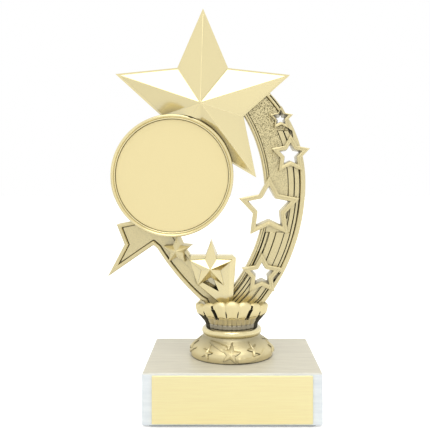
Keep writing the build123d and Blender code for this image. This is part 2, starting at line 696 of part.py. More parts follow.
def build_insert_holder():
    """A round dish with a beaded rim. Its axis is along Y."""
    cx, cz = DISC_CENTRE
    low = STAR_BACK_HEIGHT + STAR_BACK_THICKNESS + 0.05
    section = Plane(origin=(cx, 0, cz), x_dir=(1, 0, 0), z_dir=(0, 0, -1))
    rim_inside = INSERT_RADIUS + 0.15
    with BuildPart() as insert_holder:
        with BuildSketch(section):
            with BuildLine():
                Polyline((0, low + 3), (DISC_RADIUS - 4, low + 3), (DISC_RADIUS - 4, low))
                Line((DISC_RADIUS - 4, low), (DISC_RADIUS, low))
                Line((DISC_RADIUS, low), (DISC_RADIUS - 0.1, DISC_FRONT - 1.0))
                ThreePointArc(
                    (DISC_RADIUS - 0.1, DISC_FRONT - 1.0),
                    (DISC_RADIUS - 0.8, DISC_FRONT),
                    (DISC_RADIUS - 1.5, DISC_FRONT - 0.6),
                )
                Polyline(
                    (DISC_RADIUS - 1.5, DISC_FRONT - 0.6),
                    (rim_inside, DISC_FRONT - 1.0),
                    (rim_inside, INSERT_FLOOR),
                    (0, INSERT_FLOOR),
                    (0, low + 3),
                )
            make_face()
        revolve(axis=Axis((cx, 0, cz), (0, -1, 0)))
        for centre in HOLDER_PEGS:
            extrude_round(centre, PEG_RADIUS + 1.6, low, low + 3.2)
            extrude_round(centre, PEG_RADIUS, STAR_BACK_HEIGHT + 0.1, low)
        extrude_round(ARM_PEG, PEG_RADIUS + 2.0, LAYER_FLOOR + 0.05, low + 3.2)
        extrude_round(ARM_PEG, PEG_RADIUS, PEG_DEPTH, LAYER_FLOOR + 0.05)
    write(insert_holder.part, "insert_holder")


def build_insert():
    seat = INSERT_FLOOR + INSERT_TAPE_THICKNESS
    with BuildPart() as insert_tape:
        extrude_round(DISC_CENTRE, INSERT_TAPE_RADIUS, INSERT_FLOOR, seat)
    write(insert_tape.part, "insert_tape")
    with BuildPart() as insert_disc:
        extrude_round(DISC_CENTRE, INSERT_RADIUS, seat, seat + INSERT_THICKNESS)
        chamfer(insert_disc.faces().sort_by(Axis.Y)[0].edges(), 0.15)
    write(insert_disc.part, "insert_disc")


def main():
    os.makedirs("parts", exist_ok=True)
    build_marble_base()
    build_base_felt()
    build_engraving_plate()
    build_rod()
    build_fasteners()
    build_foot()
    build_cup()
    build_open_stars()
    build_crescent()
    build_ribbon_arm()
    build_ribbon_star()
    build_comet_star()
    build_star_back()
    build_star_front()
    build_insert_holder()
    build_insert()


main()
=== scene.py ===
"""Looks for the star trophy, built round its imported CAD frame.

Lengths are in millimetres, where no other unit is named, in the frame's own axes: +X right,
+Z up, the front at -Y.
"Height" (h) means how far a face stands in front of the figure's middle plane, so y = -h.
"""

from math import atan2, cos, degrees, hypot, pi, radians, sin, sqrt

import bmesh
import bpy
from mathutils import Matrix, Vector, noise


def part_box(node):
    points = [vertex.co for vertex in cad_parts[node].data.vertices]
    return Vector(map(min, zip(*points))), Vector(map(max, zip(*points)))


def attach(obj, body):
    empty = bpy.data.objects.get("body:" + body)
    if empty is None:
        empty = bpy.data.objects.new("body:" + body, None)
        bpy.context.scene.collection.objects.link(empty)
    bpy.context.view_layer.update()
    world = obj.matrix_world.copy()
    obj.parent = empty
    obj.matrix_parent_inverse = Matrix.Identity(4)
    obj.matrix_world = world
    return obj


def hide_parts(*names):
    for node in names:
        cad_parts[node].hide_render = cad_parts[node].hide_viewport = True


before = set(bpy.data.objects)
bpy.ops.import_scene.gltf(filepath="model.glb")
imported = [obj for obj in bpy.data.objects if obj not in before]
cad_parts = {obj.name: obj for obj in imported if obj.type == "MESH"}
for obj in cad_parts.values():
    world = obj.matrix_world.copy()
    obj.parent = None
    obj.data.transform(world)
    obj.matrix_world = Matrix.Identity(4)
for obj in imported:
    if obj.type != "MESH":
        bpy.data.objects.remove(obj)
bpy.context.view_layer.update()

MM = 0.001
ON_AXIS = 0.001  # the radius at which a turned profile ends, just off its axis


def box_mm(node):
    """A CAD node's lowest and highest corners, in millimetres."""
    low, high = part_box(node)
    return Vector(low) / MM, Vector(high) / MM


# ---------------------------------------------------------------- sizes
INNER_ARC = ((-55.4, 98.1), 70.7)  # crescent's inner edge: centre and radius
UPPER_ARC = ((-26.4, 103.0), 60.4)  # its outer edge above the widest point
LOWER_ARC = ((-57.0, 103.0), 91.0)  # and below it
BACK_FLOOR = -2.7  # the hollow back of the crescent and the arm, 0.8 in front of its rims
LAYER_FLOOR = 1.5  # down to where the pieces on the crescent and the arm are set into them
FIELD_FLOOR = 2.4  # where the fields of the crescent and the arm lie, 1.1 below their rims
FIELD_LIMIT = 2.45  # fields lie lower than this, rims and trails higher
OPEN_STAR_NOTCH = 0.53  # an open star's notch radius over its tip radius
STAR_NOTCH = 19.9 / 42.3  # the same for the large star
STAR_TURN = 0.3  # its degrees clockwise from upright
STAR_TOP_REACH = 1.2  # how much longer its top arm is than the others
CUP_FLOOR = 44.5  # z of the floor inside the cup


# ---------------------------------------------------------------- outlines
def star_points(centre, tip, notch, turn=0.0):
    """Ten corners of a five-pointed star, clockwise from its top tip."""
    corners = []
    for k in range(10):
        radius = notch if k % 2 else tip
        angle = radians(36 * k + turn)
        corners.append((centre[0] + radius * sin(angle), centre[1] + radius * cos(angle)))
    return corners


def star_size(node, top_reach=0.0):
    """Centre and tip radius of an upright star, from its CAD box. The box's top is the top
    arm's tip, which reaches further than the others by top_reach."""
    low, high = box_mm(node)
    tip = (high.x - low.x) / (2 * sin(radians(72)))
    return ((low.x + high.x) / 2, high.z - tip - top_reach), tip


def circle(centre, radius, steps):
    """Points of a circle, clockwise."""
    turns = [2 * pi * k / steps for k in range(steps)]
    return [(centre[0] + radius * sin(a), centre[1] + radius * cos(a)) for a in turns]


def between(start, end, t):
    """The place a share t of the way between two points."""
    return start[0] + (end[0] - start[0]) * t, start[1] + (end[1] - start[1]) * t


def rounded(points, cuts):
    """The outline with each corner replaced by a short curve. The curve starts one cut
    before the corner, and the cuts are taken in turn."""
    steps = 3
    result = []
    for k, corner in enumerate(points):
        cut = cuts[k % len(cuts)]
        here = Vector(corner)
        before = (Vector(points[k - 1]) - here).normalized() * cut + here
        after = (Vector(points[(k + 1) % len(points)]) - here).normalized() * cut + here
        for s in range(steps + 1):
            t = s / steps
            result.append(tuple(before * (1 - t) ** 2 + here * 2 * t * (1 - t) + after * t**2))
    return result


def inset(points, distance):
    """The outline moved inwards by a distance, with mitred corners. Points run clockwise."""
    result = []
    for k, corner in enumerate(points):
        here = Vector(corner)
        into = (here - Vector(points[k - 1])).normalized()
        out = (Vector(points[(k + 1) % len(points)]) - here).normalized()
        n_in = Vector((into.y, -into.x))
        n_out = Vector((out.y, -out.x))
        result.append(tuple(here + (n_in + n_out) * (distance / (1 + n_in.dot(n_out)))))
    return result


def at_height(outline, height):
    """The outline's points at a height in front of the middle plane."""
    return [(x, -height, z) for x, z in outline]


def arc_x(arc, z):
    """Where an arc's right half stands at a z."""
    (cx, cz), radius = arc
    return cx + sqrt(radius**2 - (z - cz) ** 2)


def inner_x(z):
    """The crescent's inner edge at a z."""
    return arc_x(INNER_ARC, z)


def outer_x(z):
    """The crescent's outer edge at a z."""
    return arc_x(UPPER_ARC if z > UPPER_ARC[0][1] else LOWER_ARC, z)


def smoothstep(low, high, value):
    """Rises smoothly from 0 at the low limit to 1 at the high one."""
    t = min(max((value - low) / (high - low), 0.0), 1.0)
    return t * t * (3 - 2 * t)


# ---------------------------------------------------------------- meshes
def mesh_piece(name, points, faces):
    """A new mesh object from points in millimetres."""
    mesh = bpy.data.meshes.new(name)
    mesh.from_pydata([(x * MM, y * MM, z * MM) for x, y, z in points], [], faces)
    graph = bmesh.new()
    graph.from_mesh(mesh)
    bmesh.ops.recalc_face_normals(graph, faces=graph.faces)
    graph.to_mesh(mesh)
    graph.free()
    piece = bpy.data.objects.new(name, mesh)
    bpy.context.collection.objects.link(piece)
    return piece


def skin(name, loops, ring=False):
    """Joins closed loops of equally many points. A ring joins the last loop to the first,
    else the two ends are capped."""
    count = len(loops[0])
    points = [p for loop in loops for p in loop]
    faces = []
    for k in range(len(loops) if ring else len(loops) - 1):
        a, b = k * count, (k + 1) % len(loops) * count
        for i in range(count):
            j = (i + 1) % count
            faces.append((a + i, a + j, b + j, b + i))
    if not ring:
        faces.append(tuple(range(count)))
        faces.append(tuple(range(len(points) - count, len(points))))
    return mesh_piece(name, points, faces)


def lathe(name, profile, steps, centre):
    """Turns a closed profile of (radius, height) round an axis that runs along Y."""
    loops = []
    for k in range(steps):
        a = 2 * pi * k / steps
        loops.append([(centre[0] + r * cos(a), -h, centre[1] + r * sin(a)) for r, h in profile])
    return skin(name, loops, ring=True)


def faceted_star(name, back, front, apex):
    """A star with five ridges: walls from its back outline to its front one, and facets from
    there to its apex. Each outline has ten points."""
    faces = [tuple(range(10))]
    for k in range(10):
        n = (k + 1) % 10
        faces.append((k, n, 10 + n, 10 + k))
        faces.append((10 + k, 10 + n, 20))
    return mesh_piece(name, back + front + [apex], faces)


def apply_modifiers(piece):
    """Replaces the piece's mesh with what its modifiers make of it."""
    graph = bpy.context.evaluated_depsgraph_get()
    mesh = bpy.data.meshes.new_from_object(piece.evaluated_get(graph))
    piece.modifiers.clear()
    piece.data = mesh


def bevel(piece, width, segments, angle):
    """Rounds the edges that turn by more than an angle, as a moulded piece has them."""
    modifier = piece.modifiers.new("Bevel", "BEVEL")
    modifier.width = width * MM
    modifier.segments = segments
    modifier.limit_method = "ANGLE"
    modifier.angle_limit = radians(angle)
    modifier.use_clamp_overlap = True
    apply_modifiers(piece)


def combine(piece, others, operation):
    """Cuts the other pieces from this one, or unites them with it, and removes them."""
    for other in others:
        modifier = piece.modifiers.new("Boolean", "BOOLEAN")
        modifier.operation = operation
        modifier.solver = "EXACT"
        modifier.object = other
        apply_modifiers(piece)
        bpy.data.objects.remove(other)


def prism(name, outline, low, high):
    """A straight block with the outline, between two heights."""
    return skin(name, [at_height(outline, low), at_height(outline, high)])


def flatten_facets(piece):
    """Shades each facet as the flat face it is, with the turn kept to its rounded edges."""
    modifier = piece.modifiers.new("Weighted", "WEIGHTED_NORMAL")
    modifier.mode = "FACE_AREA"
    modifier.weight = 100
    modifier.keep_sharp = True
    apply_modifiers(piece)


def finish_piece(piece, material, node, smooth, field=None, faceted=False):
    """Shades the piece smooth up to an angle, gives it its material and lets it stand for its
    CAD node. A field material goes on the front faces that lie lower than the rims."""
    piece.data.materials.clear()
    piece.data.materials.append(material)
    if field:
        piece.data.materials.append(field)
        for polygon in piece.data.polygons:
            sunk = -FIELD_LIMIT * MM < polygon.center.y < 0
            polygon.material_index = 1 if sunk and polygon.normal.y < -0.3 else 0
    piece.data.shade_smooth()
    piece.data.set_sharp_from_angle(angle=radians(smooth))
    if faceted:
        flatten_facets(piece)
    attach(piece, "root")
    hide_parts(node)


# ---------------------------------------------------------------- materials
class Nodes:
    """A short way to write a material's node tree."""

    def __init__(self, name):
        self.material = bpy.data.materials.new(name)
        self.material.use_nodes = True
        self.tree = self.material.node_tree
        self.shader = self.tree.nodes["Principled BSDF"]

    def add(self, kind, inputs=None, **settings):
        """A new node with its settings, and its inputs as links or as values."""
        node = self.tree.nodes.new(kind)
        for key, value in settings.items():
            setattr(node, key, value)
        for key, value in (inputs or {}).items():
            if isinstance(value, bpy.types.NodeSocket):
                self.tree.links.new(value, node.inputs[key])
            else:
                node.inputs[key].default_value = value
        return node

    def place(self, scale=(1.0, 1.0, 1.0)):
        """Object coordinates in millimetres, stretched by a scale."""
        source = self.add("ShaderNodeTexCoord")
        sizes = tuple(s / MM for s in scale)
        mapping = self.add("ShaderNodeMapping", {"Vector": source.outputs["Object"], "Scale": sizes})
        return mapping.outputs["Vector"]

    def noise(self, vector, size, detail=2.0, roughness=0.5):
        """Noise whose features are about a size in millimetres."""
        inputs = {"Vector": vector, "Scale": 1 / size, "Detail": detail, "Roughness": roughness}
        return self.add("ShaderNodeTexNoise", inputs).outputs["Fac"]

    def along_z(self, vector):
        return self.add("ShaderNodeSeparateXYZ", {"Vector": vector}).outputs["Z"]

    def open_sky(self, reach):
        """How open a place is: the share of directions that meet nothing within a reach."""
        inputs = {"Distance": reach * MM}
        return self.add("ShaderNodeAmbientOcclusion", inputs, samples=8).outputs["AO"]

    def mix(self, share, first, last):
        """Goes from the first colour to the last as the share goes from 0 to 1."""
        inputs = {0: share, 6: first, 7: last}
        return self.add("ShaderNodeMix", inputs, data_type="RGBA").outputs[2]

    def multiply(self, first, last):
        inputs = {0: 1.0, 6: first, 7: last}
        return self.add("ShaderNodeMix", inputs, data_type="RGBA", blend_type="MULTIPLY").outputs[2]

    def ramp(self, value, low, high, first, last):
        """Maps a value between two limits onto two colours or two numbers."""
        share = self.add("ShaderNodeMapRange", {"Value": value, "From Min": low, "From Max": high})
        if isinstance(first, tuple):
            return self.mix(share.outputs[0], first, last)
        return self.add("ShaderNodeMix", {0: share.outputs[0], 2: first, 3: last}).outputs[0]

    def bump(self, height, distance, normal=None):
        """A normal tilted by a height of up to a distance, on top of an earlier normal."""
        inputs = {"Height": height, "Distance": distance * MM, "Strength": 1.0}
        if normal is not None:
            inputs["Normal"] = normal
        return self.add("ShaderNodeBump", inputs).outputs["Normal"]

    def link(self, output, socket):
        self.tree.links.new(output, self.shader.inputs[socket])


GOLD = (0.875, 0.772, 0.468, 1.0)
GOLD_CAST = (0.745, 0.655, 0.40, 1.0)
GOLD_BELL = (0.75, 0.655, 0.40, 1.0)
# painted shade: a duller, greyer gold for the flute band in the shade under the petals
GOLD_FLUTE_SHADE = (0.72, 0.66, 0.51, 1.0)
GOLD_PIT = (0.20, 0.175, 0.095, 1.0)
# painted shade: the near-black that creases darken to
CREASE_SHADE = (0.10, 0.088, 0.045, 1.0)
HOLLOW_SHADE = (0.66, 0.69, 0.86, 1.0)  # painted shade: dulls and cools the gold in hollows, where it faces only other gold
HOLLOW_REACH = 8.0
RING_SHADE = (0.60, 0.61, 0.66, 1.0)  # painted shade: dulls the gold just over and just under the ring
WHITE = (1.0, 1.0, 1.0, 1.0)


def pitted(nodes, vector, colour):
    """The colour with dark pits, most of them where a field lies under the large star."""
    pit_size = 0.5
    few_z, many_z = 95.0, 135.0
    speckle = nodes.noise(vector, pit_size, 2.0, 0.6)
    pits = nodes.ramp(speckle, 0.42, 0.50, GOLD_PIT, colour)
    return nodes.mix(nodes.ramp(nodes.along_z(vector), few_z, many_z, 0.12, 1.0), colour, pits)


def gold(
    name,
    roughness,
    colour=GOLD,
    grain=0.0,
    crease=(1.0, 0.25, 0.62),
    hollow=(0.15, 0.7),
    shade_heights=None,
    field=False,
):
    """Metallised gold with painted shade: dark in creases and duller in hollows, by how little
    open sky reaches them, and bright on open faces.

    The grain is the depth of its cast texture. The crease is a reach and the two shares of
    open sky between which its painted shade fades, the hollow is the same two shares for
    HOLLOW_REACH, and the painted shade next to the ring sets in from the first of its two
    heights to the second. A field is pitted."""
    nodes = Nodes(name)
    vector = nodes.place()
    reach, dark, bright = crease
    # painted shade: creases darken and hollows dull by how little open sky they see
    open_face = nodes.ramp(nodes.open_sky(reach), dark, bright, 0.0, 1.0)
    shade = nodes.ramp(nodes.open_sky(HOLLOW_REACH), hollow[0], hollow[1], HOLLOW_SHADE, WHITE)
    face_colour = pitted(nodes, vector, colour) if field else colour
    shaded = nodes.multiply(nodes.mix(open_face, CREASE_SHADE, face_colour), shade)
    # painted shade, darkening the gold between two heights next to the ring
    if shade_heights:
        height_shaded = nodes.ramp(nodes.along_z(vector), shade_heights[0], shade_heights[1], WHITE, RING_SHADE)
        shaded = nodes.multiply(shaded, height_shaded)
    nodes.link(shaded, "Base Color")
    cloud = nodes.noise(vector, 6.0, 3.0)
    nodes.link(nodes.ramp(cloud, 0.3, 0.7, roughness * 0.8, roughness * 1.25), "Roughness")
    waves = nodes.noise(vector, 9.0, 1.0)
    normal = nodes.bump(waves, 0.03)
    if grain:
        pores = nodes.noise(vector, 0.45, 2.0, 0.6)
        normal = nodes.bump(pores, grain, normal)
    nodes.link(normal, "Normal")
    nodes.shader.inputs["Metallic"].default_value = 1.0
    return nodes.material


def gap_shade():
    """Painted shade, nearly black, for the deep gaps."""
    nodes = Nodes("gold_gap_shade")
    cloud = nodes.noise(nodes.place(), 0.8, 3.0)
    dark, pale = (0.022, 0.019, 0.009, 1), (0.055, 0.047, 0.023, 1)
    nodes.link(nodes.ramp(cloud, 0.3, 0.7, dark, pale), "Base Color")
    nodes.shader.inputs["Roughness"].default_value = 0.7
    nodes.shader.inputs["Metallic"].default_value = 0.3
    return nodes.material


def insert_gold():
    """The insert's flat matte foil."""
    nodes = Nodes("insert_foil")
    fine = nodes.noise(nodes.place(), 0.25, 2.0)
    dark, pale = (0.835, 0.72, 0.405, 1), (0.855, 0.74, 0.42, 1)
    nodes.link(nodes.ramp(fine, 0.3, 0.7, dark, pale), "Base Color")
    nodes.link(nodes.bump(fine, 0.004), "Normal")
    nodes.shader.inputs["Roughness"].default_value = 0.62
    nodes.shader.inputs["Metallic"].default_value = 0.15
    return nodes.material


def plate_gold():
    """Satin lacquered aluminium, brushed along its length."""
    nodes = Nodes("brushed_plate")
    streaks = nodes.noise(nodes.place((0.02, 1.0, 1.0)), 0.22, 3.0, 0.6)
    broad = nodes.noise(nodes.place((0.012, 1.0, 0.5)), 1.3, 2.0)
    dark, pale = (0.95, 0.835, 0.49, 1), (1.0, 0.92, 0.55, 1)
    nodes.link(nodes.ramp(streaks, 0.25, 0.75, dark, pale), "Base Color")
    nodes.link(nodes.ramp(broad, 0.3, 0.7, 0.34, 0.44), "Roughness")
    nodes.link(nodes.bump(streaks, 0.006), "Normal")
    nodes.shader.inputs["Metallic"].default_value = 1.0
    return nodes.material


def marble():
    """Pale marble with faint streaks along its length, and painted light: warmer and darker on
    its top faces, cooler and paler on its upright ones.
    """
    nodes = Nodes("marble_stone")
    streaks = nodes.noise(nodes.place((0.10, 0.7, 0.7)), 1.4, 6.0, 0.62)
    clouds = nodes.noise(nodes.place((0.5, 1.0, 1.0)), 16.0, 3.0)
    # painted light: a warm, darker tint for the top faces and a cool, paler one for the upright faces
    top_painted_light = nodes.ramp(streaks, 0.32, 0.68, (0.60, 0.565, 0.475, 1), (0.715, 0.685, 0.59, 1))
    side_painted_light = nodes.ramp(streaks, 0.32, 0.68, (0.74, 0.80, 0.88, 1), (0.85, 0.90, 0.97, 1))
    normal = nodes.add("ShaderNodeNewGeometry").outputs["Normal"]
    upward = nodes.ramp(nodes.along_z(normal), 0.2, 0.9, 0.0, 1.0)
    shade = nodes.ramp(clouds, 0.35, 0.65, (0.95, 0.95, 0.95, 1), WHITE)
    nodes.link(nodes.multiply(nodes.mix(upward, side_painted_light, top_painted_light), shade), "Base Color")
    nodes.link(nodes.ramp(streaks, 0.3, 0.7, 0.30, 0.42), "Roughness")
    nodes.link(nodes.bump(streaks, 0.01), "Normal")
    return nodes.material


def steel():
    """Zinc-plated steel, a little cloudy."""
    nodes = Nodes("zinc_steel")
    cloud = nodes.noise(nodes.place(), 1.2, 4.0)
    dark, pale = (0.52, 0.52, 0.50, 1), (0.66, 0.66, 0.63, 1)
    nodes.link(nodes.ramp(cloud, 0.3, 0.7, dark, pale), "Base Color")
    nodes.link(nodes.ramp(cloud, 0.3, 0.7, 0.25, 0.4), "Roughness")
    nodes.shader.inputs["Metallic"].default_value = 1.0
    return nodes.material


def felt():
    """Dark green felt."""
    nodes = Nodes("green_felt")
    fibres = nodes.noise(nodes.place(), 0.3, 6.0, 0.7)
    dark, pale = (0.008, 0.03, 0.016, 1), (0.03, 0.085, 0.05, 1)
    nodes.link(nodes.ramp(fibres, 0.3, 0.7, dark, pale), "Base Color")
    nodes.link(nodes.bump(fibres, 0.12), "Normal")
    nodes.shader.inputs["Roughness"].default_value = 0.95
    nodes.shader.inputs["Sheen Weight"].default_value = 0.4
    return nodes.material


def foam_tape():
    """White foam with fine cells."""
    nodes = Nodes("foam_tape")
    cells = nodes.noise(nodes.place(), 0.2, 3.0)
    dark, pale = (0.62, 0.61, 0.57, 1), (0.78, 0.77, 0.73, 1)
    nodes.link(nodes.ramp(cells, 0.3, 0.7, dark, pale), "Base Color")
    nodes.shader.inputs["Roughness"].default_value = 0.8
    return nodes.material


# ---------------------------------------------------------------- large star and holder
def holder_size():
    """Centre and radius of the round holder."""
    low, high = box_mm("insert_holder")
    radius = (high.x - low.x) / 2
    return ((low.x + high.x) / 2, high.z - radius), radius


def make_star(polished):
    """The faceted star, with a bite that the round holder fills."""
    centre, tip = star_size("star_front", STAR_TOP_REACH)
    low, high = box_mm("star_front")
    back, front = -high.y, -low.y
    wall, clearance = 1.35, 0.15  # height of the edge's wall, and room round the holder
    apex = (centre[0] - 0.7, -front, centre[1] - 1.1)
    outline = star_points(centre, tip, STAR_NOTCH * tip, STAR_TURN)
    outline[0] = (outline[0][0], outline[0][1] + STAR_TOP_REACH)
    edge = at_height(outline, back + wall)
    star = faceted_star("star_front_shell", at_height(outline, back), edge, apex)
    bevel(star, 0.42, 4, 8.0)
    hole, radius = holder_size()
    bite = prism("bite", circle(hole, radius + clearance, 160), back - 1, front + 1)
    combine(star, [bite], "DIFFERENCE")
    finish_piece(star, polished, "star_front", 25.0, faceted=True)


def make_holder(polished):
    """A round dish: an outer bead, a fine groove, an inner lip and a hollow back."""
    front = -box_mm("insert_holder")[0].y
    centre, r = holder_size()
    floor_h = -box_mm("insert_tape")[1].y
    back = -box_mm("star_front")[1].y
    hollow = back + 3.0
    seat = [(ON_AXIS, floor_h), (r - 2.15, floor_h), (r - 2.15, front - 1.1)]
    lip = [(r - 2.08, front - 0.85), (r - 1.9, front - 0.74), (r - 1.65, front - 0.74)]
    groove = [(r - 1.5, front - 0.82), (r - 1.4, front - 0.72), (r - 1.25, front - 0.34)]
    bead = [
        (r - 1.0, front - 0.1), (r - 0.7, front), (r - 0.4, front - 0.08), (r - 0.12, front - 0.4),
        (r, front - 0.95),
    ]
    rear_rim = [
        (r, back + 0.5), (r - 0.15, back + 0.15), (r - 0.5, back), (r - 3.2, back),
        (r - 3.6, back + 0.3), (r - 3.9, back + 2.6), (r - 4.6, hollow),
    ]
    boss = [  # a ring that stands in the hollow
        (12.0, hollow), (11.6, back + 2.7), (11.0, back + 1.2), (10.6, back + 1.0),
        (9.4, back + 1.0), (9.0, back + 1.2), (8.4, back + 2.7), (8.0, hollow),
    ]
    profile = seat + lip + groove + bead + rear_rim + boss + [(ON_AXIS, hollow)]
    holder = lathe("insert_holder_dish", profile, 160, centre)
    finish_piece(holder, polished, "insert_holder", 38.0)


# ---------------------------------------------------------------- open stars
OPENINGS = {  # tip radius of each opening at the back and at its mouth, and the mouth's shift
    "open_star_small": (2.0, 3.6, (-0.45, 0.35)),
    "open_star_upper": (4.6, 5.4, (0.0, 0.0)),
    "open_star_large": (9.6, 10.4, (0.0, 0.0)),
    "open_star_lower": (4.7, 5.6, (0.0, 0.0)),
}


def plug_radius(opening, tip):
    """Tip radius of the part of an open star that is set into the crescent."""
    return opening + 0.5 * (tip - opening)


def make_open_star(node, polished):
    """A star-shaped collar with a flat band, a sloping inside and a plug behind it."""
    centre, tip = star_size(node)
    low, high = box_mm(node)
    front, back = -low.y, -high.y
    opening, mouth, shift = OPENINGS[node]
    plug = plug_radius(opening, tip)
    edge, lip = 0.16, 0.12  # how much the outer edge and the mouth are rounded
    band = mouth + 0.52 * (tip - mouth)  # where the flat band ends inside
    outside = [
        (opening + 0.1, back), (plug - 0.3, back), (plug, back + 0.3), (plug, LAYER_FLOOR + 0.1),
        (tip - 0.2, LAYER_FLOOR + 0.1), (tip, LAYER_FLOOR + 0.3), (tip, front - 2.0 * edge),
        (tip - 0.6 * edge, front - 0.7 * edge), (tip - 2.4 * edge, front - 0.1 * edge),
        (band + 0.16, front), (band, front - 0.2), (band - 0.12, front - 0.22),
    ]
    inside = [(mouth + 2.0 * lip, front - 0.34), (mouth + 0.5 * lip, front - 0.5), (mouth, front - 0.75)]
    mouth_centre = (centre[0] + shift[0], centre[1] + shift[1])
    section = [(centre, radius, height) for radius, height in outside]
    section += [(mouth_centre, radius, height) for radius, height in inside]
    section += [(centre, opening, back + 0.3)]
    tip_cut = 0.035 * tip
    loops = []
    for place, radius, height in section:
        corners = star_points(place, radius, OPEN_STAR_NOTCH * radius)
        loops.append(at_height(rounded(corners, [tip_cut * 0.6, tip_cut]), height))
    collar = skin(node + "_collar", loops, ring=True)
    finish_piece(collar, polished, node, 28.0)


# ---------------------------------------------------------------- crescent
INNER_RIM = [  # distance from the inner edge, height
    (0.0, 2.8), (0.12, 3.15), (0.35, 3.4), (0.75, 3.5), (1.1, 3.4), (1.22, 2.9), (1.34, 2.9),
    (1.45, 3.2), (1.75, 3.35), (2.05, 3.2), (2.2, 2.85), (2.25, 1.8), (2.42, 1.8), (2.5, FIELD_FLOOR),
]
OUTER_RIM = [  # distance from the outer edge, height
    (0.0, 2.8), (0.15, 3.2), (0.45, 3.45), (1.4, 3.5), (2.1, 3.44), (2.3, 3.2), (2.36, 1.7),
    (2.58, 1.7), (2.66, FIELD_FLOOR),
]
# distance from either edge at the back, height
REAR_RIM = [(0.0, -3.2), (0.25, -3.5), (1.5, -3.5), (1.75, -3.3), (1.9, BACK_FLOOR)]

# raised trails on the crescent: lowest z, highest z, and for each trail its two edges across
# the crescent, 0 inner to 1 outer, and its rise
TRAILS = [
    (111.0, 127.0, [(0.60, 0.72, 0.5), (0.745, 0.85, 0.35)]),
    (96.5, 111.0, [(0.585, 0.715, 0.5), (0.74, 0.85, 0.35)]),
    (80.0, 96.5, [(0.66, 0.765, 0.5), (0.785, 0.85, 0.35)]),
    (62.0, 80.0, [(0.155, 0.22, 0.55), (0.255, 0.405, 0.2), (0.425, 0.62, 0.4), (0.64, 0.77, 0.15),
                  (0.79, 0.85, 0.5)]),
    (44.0, 62.0, [(0.17, 0.24, 0.5), (0.265, 0.335, 0.5), (0.36, 0.44, 0.3), (0.48, 0.62, 0.5),
                  (0.665, 0.79, 0.3), (0.81, 0.85, 0.5)]),
]
TRAIL_GROOVE = 0.7  # depth of the groove along each side of a trail


def trail_height(u, z):
    """How far the trails stand above the field, at u across the crescent. In the fine
    groove along both sides of each it is below zero."""
    edge, groove = 0.004, 0.013  # half the width of a trail's edge, and the groove's reach
    height = 0.0
    for low_z, high_z, places in TRAILS:
        if low_z < z < high_z:
            for low_u, high_u, rise in places:
                inside = smoothstep(low_u - edge, low_u + edge, u) * (
                    1 - smoothstep(high_u - edge, high_u + edge, u)
                )
                if inside > 0:
                    height = max(height, rise * inside)
                elif low_u - groove < u < high_u + groove and height <= 0:
                    height = -TRAIL_GROOVE
    return height


def hammered(x, z, size, depth):
    """An uneven height, with bumps of a size in millimetres."""
    layer = 3.7  # any layer of the noise will do
    return depth * noise.noise(Vector((x / size, z / size, layer)))


def field_height(x, z, u):
    """Height of the field or the trail on it at a place that is u across the crescent."""
    rise = trail_height(u, z)
    coarse = hammered(x, z, 0.7, 0.16) * smoothstep(92, 125, z)
    grain = coarse + hammered(x, z, 0.5, 0.03)
    return FIELD_FLOOR - 0.06 + rise + grain * (1 - min(2 * abs(rise), 1.0))


def crescent_row(inner, outer, columns):
    """One closed row round the crescent: its front from edge to edge, then its back."""
    width = hypot(outer[0] - inner[0], outer[1] - inner[1])

    def point(distance, height):
        x, z = between(inner, outer, distance / width)
        return (x, -height, z)

    front = [point(d, h) for d, h in INNER_RIM]
    first, last = INNER_RIM[-1][0] + 0.1, width - OUTER_RIM[-1][0] - 0.1
    for k in range(columns + 1):
        d = first + (last - first) * k / columns
        x, z = between(inner, outer, d / width)
        front.append((x, -field_height(x, z, d / width), z))
    front += [point(width - d, h) for d, h in reversed(OUTER_RIM)]
    rear = [point(width - d, h) for d, h in REAR_RIM]
    rim = REAR_RIM[-1][0]
    for k in range(1, 8):
        rear.append(point(width - rim - (width - 2 * rim) * k / 8, BACK_FLOOR))
    rear += [point(d, h) for d, h in reversed(REAR_RIM)]
    return front + rear


PITS = [  # outlines of the deep places beside the open stars
    [(24.3, 89.2), (26.4, 90.0), (25.5, 85.6)],
    [(22.9, 61.9), (19.2, 56.6), (19.8, 60.0)],
    [(25.6, 128.4), (27.9, 126.8), (28.3, 124.0), (26.5, 121.4), (27.2, 124.2), (26.9, 126.4)],
]


def rim_slot():
    """The slot in the outer rim just below the large star, along the rim's arc."""
    (cx, cz), radius = UPPER_ARC
    outer_r, inner_r = radius - 0.55, radius - 1.1
    turns = [radians(35.2 + 1.2 * k) for k in range(7)]
    outside = [(cx + outer_r * cos(a), cz + outer_r * sin(a)) for a in reversed(turns)]
    return outside + [(cx + inner_r * cos(a), cz + inner_r * sin(a)) for a in turns]


def crescent_rows():
    """Rows from the root in the cup, along the two arcs, to the end behind the large star."""
    columns, root_steps, steps = 110, 6, 330
    root_in, root_out = (-8.5, 44.7), (11.6, 44.7)
    low_in, low_out = 52.4, 48.1  # z where the root's edges meet the arcs
    top_in, top_out = 143.5, 151.0
    rows = []
    for k in range(root_steps):
        t = k / root_steps
        inner = between(root_in, (inner_x(low_in), low_in), t)
        outer = between(root_out, (outer_x(low_out), low_out), t)
        rows.append(crescent_row(inner, outer, columns))
    for k in range(steps + 1):
        t = k / steps
        z_in = low_in + (top_in - low_in) * t
        z_out = low_out + (top_out - low_out) * t
        rows.append(crescent_row((inner_x(z_in), z_in), (outer_x(z_out), z_out), columns))
    return rows


